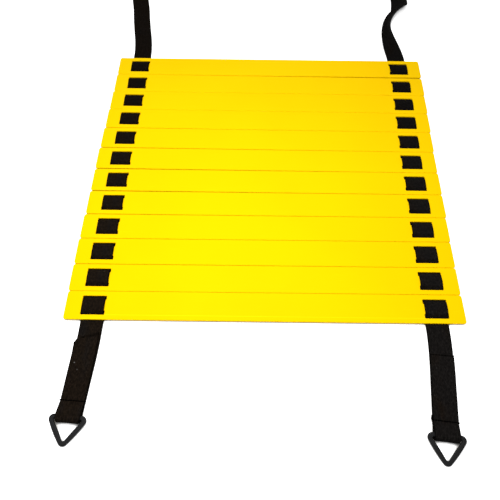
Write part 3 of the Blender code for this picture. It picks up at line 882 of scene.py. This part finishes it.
def finished(name, shape, material):
    """A smooth mesh object from a bmesh, with its faces outwards."""
    bmesh.ops.recalc_face_normals(shape, faces=shape.faces)
    for face in shape.faces:
        face.smooth = True
    mesh = bpy.data.meshes.new(name)
    shape.to_mesh(mesh)
    shape.free()
    mesh.materials.append(material)
    return link(bpy.data.objects.new(name, mesh))


# Flat moulded pieces


def flat_mesh(name, outlines, depth, rounding, rounding_steps):
    """A flat mesh from closed outlines, with its edges rounded over and its holes open."""
    curve = bpy.data.curves.new(name, "CURVE")
    curve.dimensions = "2D"
    curve.fill_mode = "BOTH"
    curve.extrude = depth / 2 - rounding
    curve.bevel_depth = rounding
    curve.bevel_resolution = rounding_steps
    curve.offset = -rounding
    for outline in outlines:
        spline = curve.splines.new("POLY")
        spline.points.add(len(outline) - 1)
        for target, point in zip(spline.points, outline):
            target.co = (point.x, point.y, 0, 1)
        spline.use_cyclic_u = True
    thing = link(bpy.data.objects.new(name, curve))
    bpy.context.view_layer.update()
    mesh = bpy.data.meshes.new_from_object(thing.evaluated_get(bpy.context.evaluated_depsgraph_get()))
    bpy.data.objects.remove(thing)
    bpy.data.curves.remove(curve)
    shape = bmesh.new()
    shape.from_mesh(mesh)
    bmesh.ops.remove_doubles(shape, verts=shape.verts, dist=WELD_DISTANCE)
    bmesh.ops.recalc_face_normals(shape, faces=shape.faces)
    shape.normal_update()
    for face in shape.faces:
        face.smooth = abs(face.normal.z) < FLAT_FACE_UP
    shape.to_mesh(mesh)
    shape.free()
    mesh.name = name
    return mesh


def rung_outlines():
    """The rung's edge and its four slots."""
    outlines = [
        rounded_rectangle(Vector((0, 0)), RUNG_LENGTH, RUNG_WIDTH, RUNG_CORNER_RADIUS, CORNER_STEPS)
    ]
    for side in (-1, 1):
        for end in (-1, 1):
            middle = Vector((side * STRAP_X, end * SLOT_MIDDLE_Y))
            outlines.append(
                rounded_rectangle(middle, SLOT_LENGTH, SLOT_WIDTH, SLOT_CORNER_RADIUS, CORNER_STEPS)
            )
    return outlines


def add_rungs(materials):
    plate = flat_mesh("slat", rung_outlines(), RUNG_THICKNESS, RUNG_EDGE_ROUNDING, RUNG_ROUNDING_STEPS)
    plate.materials.append(materials["rung"])
    for index, (middle, turn) in enumerate(rungs):
        body = "rung_%02d" % (index + 1)
        mesh = plate.copy()
        height = Vector((0, 0, RUNG_UNDERSIDE + RUNG_THICKNESS / 2))
        mesh.transform(Matrix.Translation(middle + height) @ Matrix.Rotation(turn, 4, "Z"))
        slat = link(bpy.data.objects.new(body + "_slat", mesh))
        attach(slat, body)
        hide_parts(body)
    bpy.data.meshes.remove(plate)


def ring_outline(reach, base_fillet, point_fillet, bow):
    """A triangle whose sides pass the ring's three corner centres at the reach.

    The corners at the bar and the one at the point have their own fillets, and the two long
    sides are bowed.
    """
    half = RING_WIDTH / 2 - RING_CORNER_RADIUS
    height = RING_HEIGHT - 2 * RING_CORNER_RADIUS
    slope = math.atan2(half, height)
    lean = (math.pi / 2 - slope) / 2
    set_in = (base_fillet - reach) / math.sin(lean)
    right = Vector((half - set_in * math.cos(lean), -BAR_TO_CORNERS - set_in * math.sin(lean)))
    left = Vector((-right.x, right.y))
    apex = Vector((0, -BAR_TO_CORNERS - height + (point_fillet - reach) / math.sin(slope)))
    slope = math.degrees(slope)
    at_right = arc(right, base_fillet, 90, -slope, RING_CORNER_STEPS)
    at_apex = arc(apex, point_fillet, -slope, slope - 180, RING_CORNER_STEPS)
    at_left = arc(left, base_fillet, slope - 180, -270, RING_CORNER_STEPS)
    outline = at_right + bowed_side(at_right[-1], at_apex[0], bow)
    outline += at_apex + bowed_side(at_apex[-1], at_left[0], bow)
    return outline + at_left


def bowed_side(start, end, bow):
    """Points between two corners on a shallow parabola."""
    if not bow:
        return []
    along = end - start
    outward = Vector((-along.y, along.x)).normalized()
    shares = [step / RING_BOW_STEPS for step in range(1, RING_BOW_STEPS)]
    return [start + along * share + outward * bow * 4 * share * (1 - share) for share in shares]


def add_rings(materials):
    """The four moulded rings, each tipped down on its bar until its point rests."""
    outlines = [
        ring_outline(RING_CORNER_RADIUS, RING_CORNER_RADIUS, RING_CORNER_RADIUS, RING_SIDE_BOW),
        ring_outline(RING_CORNER_RADIUS - RING_BAND, RING_BASE_FILLET, RING_POINT_FILLET, RING_WINDOW_BOW),
    ]
    form = flat_mesh("ring", outlines, RING_THICKNESS, RING_EDGE_ROUNDING, RING_ROUNDING_STEPS)
    form.materials.append(materials["ring"])
    for name in ("left_near_ring", "right_near_ring", "left_far_ring", "right_far_ring"):
        place, axis = joint(name + "_swing")
        drop = place.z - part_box(name)[0][2]
        flat_reach = RING_REACH - RING_EDGE_ROUNDING
        tip = math.asin(drop / math.hypot(flat_reach, RING_THICKNESS / 2))
        tip -= math.atan2(RING_THICKNESS / 2, flat_reach)
        turn = Matrix.Rotation(math.atan2(-axis.y, -axis.x), 4, "Z")
        mesh = form.copy()
        mesh.transform(Matrix.Translation(place) @ turn @ Matrix.Rotation(tip, 4, "X"))
        ring = link(bpy.data.objects.new(name + "_moulding", mesh))
        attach(ring, name)
        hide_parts(name)
    bpy.data.meshes.remove(form)


def add_ties(materials):
    """A hook-and-loop tape round each hank, its end lapped over on top."""
    for side in (-1, 1):
        name = side_name(side)
        low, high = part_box(name + "_hank_tie")
        middle = Vector(((low[0] + high[0]) / 2, (low[1] + high[1]) / 2, 0))
        half = (high[0] - low[0] - TIE_THICKNESS) / 2
        top = high[2] - TIE_THICKNESS / 2
        lap_top = top + TIE_TAPE_THICKNESS + TIE_LAP_GAP
        corners = [
            Vector((TIE_LAP / 2, top)),
            Vector((-half, top)),
            Vector((-half, TIE_THICKNESS / 2)),
            Vector((half, TIE_THICKNESS / 2)),
            Vector((half, lap_top - TIE_TAPE_THICKNESS / 2)),
            Vector((half - TIE_CORNER_RADIUS, lap_top)),
            Vector((-TIE_LAP / 2, lap_top)),
        ]
        path = filled_in(rounded_path(corners, TIE_BEND_RADIUS, BEND_STEPS), END_STEP)
        route = [(middle + Vector((point.x, 0, point.y)), Vector((0, 1, 0))) for point in path]
        tie, length = add_strip(
            name + "_hank_tape", route, TIE_WIDTH, TIE_TAPE_THICKNESS, materials["tape"]
        )
        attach(tie, "rung_12")
        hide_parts(name + "_hank_tie")


# Materials


def add_node(tree, kind, inputs=None, **settings):
    """A node with its settings made and each input linked or given its value."""
    made = tree.nodes.new("ShaderNode" + kind)
    for setting, value in settings.items():
        setattr(made, setting, value)
    for socket, value in (inputs or {}).items():
        if isinstance(value, bpy.types.NodeSocket):
            tree.links.new(value, made.inputs[socket])
        else:
            made.inputs[socket].default_value = value
    return made


def mixed(tree, share, first, second):
    """A mix of two colours by a share, each a colour or a socket."""
    ends = [(*end, 1) if isinstance(end, tuple) else end for end in (first, second)]
    sockets = {MIX_SHARE_SOCKET: share, MIX_FIRST_SOCKET: ends[0], MIX_SECOND_SOCKET: ends[1]}
    return add_node(tree, "Mix", sockets, data_type="RGBA").outputs[MIX_RESULT_SOCKET]


def calculated(tree, operation, first, second=0.0, third=0.0):
    made = add_node(tree, "Math", {0: first, 1: second, 2: third}, operation=operation)
    return made.outputs[0]


def product(tree, first, *others):
    for other in others:
        first = calculated(tree, "MULTIPLY", first, other)
    return first


def ranged(tree, value, low, high, to_low=0.0, to_high=1.0):
    """A value brought from one range to another and kept inside it."""
    sizes = {"Value": value, "From Min": low, "From Max": high, "To Min": to_low, "To Max": to_high}
    return add_node(tree, "MapRange", sizes, interpolation_type="SMOOTHSTEP").outputs["Result"]


def clouds(tree, where, sizes):
    """Soft noise over a place, from its scale, detail and roughness."""
    scale, detail, roughness = sizes
    sockets = {"Vector": where, "Scale": scale, "Detail": detail, "Roughness": roughness}
    return add_node(tree, "TexNoise", sockets).outputs["Fac"]


def distance_from(tree, where, spot):
    return add_node(tree, "VectorMath", {0: where, 1: spot}, operation="DISTANCE").outputs["Value"]


def stretched(tree, where, scale):
    return add_node(tree, "Mapping", {"Vector": where, "Scale": scale}).outputs["Vector"]


def begin_material(name, specular, sheen=0.0):
    """A material, its node tree, its shader and its object coordinates."""
    material = bpy.data.materials.new(name)
    material.use_nodes = True
    tree = material.node_tree
    shader = tree.nodes["Principled BSDF"]
    shader.inputs["Specular IOR Level"].default_value = specular
    shader.inputs["Sheen Weight"].default_value = sheen
    where = add_node(tree, "TexCoord").outputs["Object"]
    return material, tree, shader, where


def finish_surface(tree, shader, colour, roughness, height, relief):
    """Joins a colour, a roughness and a height, with its relief in metres, to the shader."""
    tree.links.new(colour, shader.inputs["Base Color"])
    tree.links.new(roughness, shader.inputs["Roughness"])
    bump = add_node(tree, "Bump", {"Height": height, "Strength": 1.0, "Distance": relief})
    tree.links.new(bump.outputs["Normal"], shader.inputs["Normal"])


def make_yellow_plastic():
    """Semi-gloss moulded plastic with a fine grain and faint scuffs, its rounded edges painted paler as a
    highlight.
    """
    material, tree, shader, where = begin_material("yellow_plastic_moulded", YELLOW_SPECULAR)
    shader.inputs["Specular Tint"].default_value = (*YELLOW_SHINE, 1)
    drift = clouds(tree, where, YELLOW_DRIFT)
    grain = clouds(tree, where, YELLOW_GRAIN)
    scuffs = clouds(tree, stretched(tree, where, SCUFF_STRETCH), SCUFFS)
    pools = clouds(tree, where, SCUFF_POOLS)
    scuffs = product(tree, ranged(tree, scuffs, *SCUFF_RANGE), ranged(tree, pools, *SCUFF_POOL_RANGE))
    # Painted highlight: the rounded edges of rungs and slots are painted paler, where light would catch them
    edge = add_node(tree, "NewGeometry").outputs["Pointiness"]
    edge_wear_and_highlight = product(tree, ranged(tree, edge, *YELLOW_EDGE_RANGE), YELLOW_EDGE_SHARE)
    colour = mixed(tree, ranged(tree, drift, *YELLOW_DRIFT_RANGE), YELLOW, YELLOW_DEEP)
    colour = mixed(tree, edge_wear_and_highlight, colour, YELLOW_WORN_AND_EDGE_HIGHLIGHT)
    colour = mixed(tree, product(tree, scuffs, SCUFF_SHARE), colour, YELLOW_WORN_AND_EDGE_HIGHLIGHT)
    mark = ranged(tree, distance_from(tree, where, MARK_PLACE), *MARK_RANGE)
    colour = mixed(tree, mark, colour, YELLOW_DEEP)
    roughness = ranged(tree, drift, *YELLOW_ROUGHNESS_RANGE)
    roughness = calculated(tree, "MULTIPLY_ADD", scuffs, SCUFF_ROUGHNESS, roughness)
    height = calculated(tree, "MULTIPLY_ADD", scuffs, -SCUFF_DEPTH_SHARE, grain)
    finish_surface(tree, shader, colour, roughness, height, YELLOW_RELIEF)
    return material


def make_webbing(name, follows_route):
    """Black woven webbing: staggered ribs, dark selvages, faded patches and a little lint.

    It is warmer on the left of the row. Each rib has a painted glint, the hollows between ribs
    have painted shade, and painted shade makes it darker in the row's middle, where the light
    falls off. Where it doesn't follow a route, its weave stands in its place, so that it keeps its
    scale when the piece is drawn out.
    """
    material, tree, shader, where = begin_material(name, WEB_SPECULAR)
    if follows_route:
        measures = add_node(tree, "UVMap", uv_map="webbing").outputs["UV"]
    else:
        measures = add_node(tree, "Mapping", {"Vector": where, "Rotation": (0, 0, -math.pi / 2)})
        measures = measures.outputs["Vector"]
    rib_inputs = {"Vector": stretched(tree, measures, RIB_STRETCH), **RIB_GLINT_COLOURS, **RIB_SIZES}
    ribs = add_node(tree, "TexBrick", rib_inputs, offset=RIB_OFFSET)
    hollows = ribs.outputs["Fac"]
    fibres = clouds(tree, stretched(tree, measures, FIBRE_STRETCH), WEB_FIBRES)
    lumps = clouds(tree, stretched(tree, measures, LUMP_STRETCH), WEB_LUMPS)
    fade = clouds(tree, stretched(tree, measures, FADE_STRETCH), WEB_FADE)
    dust = ranged(tree, clouds(tree, where, WEB_DUST), *DUST_RANGE)
    place = add_node(tree, "SeparateXYZ", {0: where}).outputs
    # Painted shade: the webbing darkens along the row and is full again towards the hanks
    near_painted_shade = ranged(tree, place["Y"], *NEAR_PAINTED_SHADE_RANGE)
    painted_shade_end = ranged(tree, place["Y"], *PAINTED_SHADE_END_RANGE)
    # Tone of the weave's lumps, with painted glints on the ribs and painted shade in the hollows and along
    # the row
    tone_and_painted_light = product(
        tree,
        ranged(tree, ribs.outputs["Color"], *RIB_PAINTED_GLINT_RANGE),
        ranged(tree, lumps, *LUMP_RANGE),
        ranged(tree, hollows, *HOLLOW_PAINTED_SHADE_RANGE),
        calculated(tree, "MAXIMUM", near_painted_shade, painted_shade_end),
    )
    if follows_route:
        wide = add_node(tree, "SeparateXYZ", {0: measures}).outputs["Y"]
        wide = calculated(tree, "ABSOLUTE", wide)
        tone_and_painted_light = product(tree, tone_and_painted_light, ranged(tree, wide, *SELVAGE_RANGE))
    leftward = ranged(tree, place["X"], *LEFTWARD_RANGE)
    patches = calculated(tree, "MULTIPLY_ADD", fade, FADE_GAIN, FADE_START)
    warmth = calculated(tree, "ADD", leftward, patches)
    colour = mixed(tree, ranged(tree, warmth, 0.0, 1.0), WEB_PLAIN, WEB_WARM)
    colour = mixed(tree, tone_and_painted_light, WEB_DARK_TONE_AND_SHADE, colour)
    for spot, share in LINT_SPOTS:
        speck = ranged(tree, distance_from(tree, where, spot), *LINT_RANGE, share, 0.0)
        dust = calculated(tree, "MAXIMUM", dust, speck)
    colour = mixed(tree, dust, colour, LINT)
    roughness = ranged(tree, fibres, *WEB_ROUGHNESS_RANGE)
    fuzz = product(tree, fibres, FIBRE_DEPTH_SHARE)
    height = calculated(tree, "MULTIPLY_ADD", hollows, -1.0, fuzz)
    finish_surface(tree, shader, colour, roughness, height, WEB_RELIEF)
    return material


def make_ring_plastic():
    """Matt black moulded plastic, rubbed paler on its edges."""
    material, tree, shader, where = begin_material("black_plastic_moulded", RING_SPECULAR)
    grain = clouds(tree, where, RING_GRAIN)
    rubbing = ranged(tree, clouds(tree, where, RING_RUBBING), *RING_RUBBING_RANGE)
    edge = add_node(tree, "NewGeometry").outputs["Pointiness"]
    edge_wear_and_highlight = product(tree, ranged(tree, edge, *RING_EDGE_RANGE), rubbing)
    colour = mixed(tree, edge_wear_and_highlight, RING_BLACK, RING_WORN)
    roughness = ranged(tree, grain, *RING_ROUGHNESS_RANGE)
    finish_surface(tree, shader, colour, roughness, grain, RING_RELIEF)
    return material


def make_tape():
    """Hook-and-loop tape: a matt pile of tiny loops."""
    material, tree, shader, where = begin_material("hook_and_loop_tape", TAPE_SPECULAR, TAPE_SHEEN)
    loops = add_node(tree, "TexVoronoi", {"Vector": where, "Scale": TAPE_LOOP_SCALE}).outputs["Distance"]
    fuzz = clouds(tree, where, TAPE_FUZZ)
    height = calculated(tree, "ADD", loops, fuzz)
    colour = mixed(tree, fuzz, TAPE_BLACK, TAPE_WORN)
    roughness = ranged(tree, fuzz, *TAPE_ROUGHNESS_RANGE)
    finish_surface(tree, shader, colour, roughness, height, TAPE_RELIEF)
    return material


def make_thread():
    """Twisted black sewing thread, painted all but black so that its rows also stand in for the shade in the
    seams' grooves.
    """
    material, tree, shader, where = begin_material("black_thread_and_groove_shade", 0.0)
    plies = clouds(tree, stretched(tree, where, PLY_STRETCH), THREAD_PLIES)
    colour = mixed(tree, plies, THREAD_BLACK_AND_GROOVE_SHADE, THREAD_WORN)
    roughness = ranged(tree, plies, *THREAD_ROUGHNESS_RANGE)
    finish_surface(tree, shader, colour, roughness, plies, THREAD_RELIEF)
    return material


# Floor, light and camera


def seen_directly(tree):
    """1 for the rays of the camera, of reflections and through glass, and 0 for those that light."""
    path = add_node(tree, "LightPath").outputs
    seen = calculated(tree, "ADD", path["Is Camera Ray"], path["Is Glossy Ray"])
    return calculated(tree, "ADD", seen, path["Is Transmission Ray"])


def make_floor():
    """A white floor that shows the object's shadow, with painted shade that darkens its colour and its glow
    where the object covers it or stands close.
    """
    material = bpy.data.materials.new("studio_white")
    material.use_nodes = True
    tree = material.node_tree
    tree.nodes.remove(tree.nodes["Principled BSDF"])
    # Painted shade: an ambient-occlusion mask darkens the floor's colour and glow under and beside the object
    free_of_painted_shade = add_node(tree, "AmbientOcclusion", {"Distance": FLOOR_SHADE_REACH}).outputs["AO"]
    free_of_painted_shade = ranged(tree, free_of_painted_shade, *FLOOR_SHADE_RANGE)
    glow = product(tree, seen_directly(tree), product(tree, free_of_painted_shade, FLOOR_GLOW))
    colour = mixed(tree, free_of_painted_shade, FLOOR_PAINTED_SHADE, FLOOR_WHITE)
    plain = add_node(tree, "BsdfDiffuse", {"Color": colour}).outputs[0]
    bright = add_node(tree, "Emission", {"Strength": glow}).outputs[0]
    both = add_node(tree, "AddShader", {0: plain, 1: bright}).outputs[0]
    tree.links.new(both, tree.nodes["Material Output"].inputs["Surface"])
    shape = bmesh.new()
    place = Matrix.Translation((0, 0, -FLOOR_DROP))
    bmesh.ops.create_grid(shape, x_segments=1, y_segments=1, size=FLOOR_SIZE / 2, matrix=place)
    floor = finished("studio_floor", shape, material)


def make_light():
    world = bpy.data.worlds.new("studio")
    bpy.context.scene.world = world
    world.use_nodes = True
    tree = world.node_tree
    seen = seen_directly(tree)
    strength = calculated(tree, "MULTIPLY_ADD", seen, 1 - WORLD_STRENGTH, WORLD_STRENGTH)
    background = tree.nodes["Background"]
    background.inputs["Color"].default_value = (*WORLD_COLOUR, 1)
    tree.links.new(strength, background.inputs["Strength"])
    add_lamp("soft_box", LAMP_PLACE, LAMP_AIM, LAMP_POWER, LAMP_SIZE, math.pi)
    for index in range(ROW_LAMP_COUNT):
        place = Vector((0, ROW_LAMP_START + ROW_LAMP_SPACING * index, ROW_LAMP_HEIGHT))
        below = Vector((place.x, place.y, 0))
        spread = math.radians(ROW_LAMP_SPREAD_DEG)
        add_lamp("row_box_%d" % (index + 1), place, below, ROW_LAMP_POWER, LAMP_SIZE, spread)


def add_lamp(name, place, aim, power, size, spread):
    """A square soft box, its light kept within an angle."""
    light = bpy.data.lights.new(name, "AREA")
    light.energy = power
    light.size = size
    light.spread = spread
    lamp = link(bpy.data.objects.new(name, light))
    lamp.location = place
    lamp.rotation_euler = (Vector(aim) - Vector(place)).to_track_quat("-Z", "Y").to_euler()
    lamp.visible_camera = False


def make_camera():
    camera = bpy.data.cameras.new("camera")
    camera.lens = CAMERA_LENS
    camera.sensor_width = CAMERA_SENSOR
    holder = link(bpy.data.objects.new("camera", camera))
    holder.location = CAMERA_PLACE
    holder.rotation_euler = (math.radians(CAMERA_PITCH_DEG), 0, math.radians(CAMERA_TURN_DEG))
    bpy.context.scene.camera = holder


make_camera()
make_light()
make_floor()
finishes = {
    "rung": make_yellow_plastic(),
    "webbing": make_webbing("black_webbing_ribbed", True),
    "bay": make_webbing("black_webbing_ribbed_bay", False),
    "ring": make_ring_plastic(),
    "tape": make_tape(),
    "thread": make_thread(),
}
for strap_side in (-1, 1):
    add_near_webbing(strap_side, finishes)
    add_weaves(strap_side, finishes)
    add_far_webbing(strap_side, finishes)
add_rungs(finishes)
add_rings(finishes)
add_ties(finishes)

bpy.context.scene.view_settings.view_transform = "Standard"
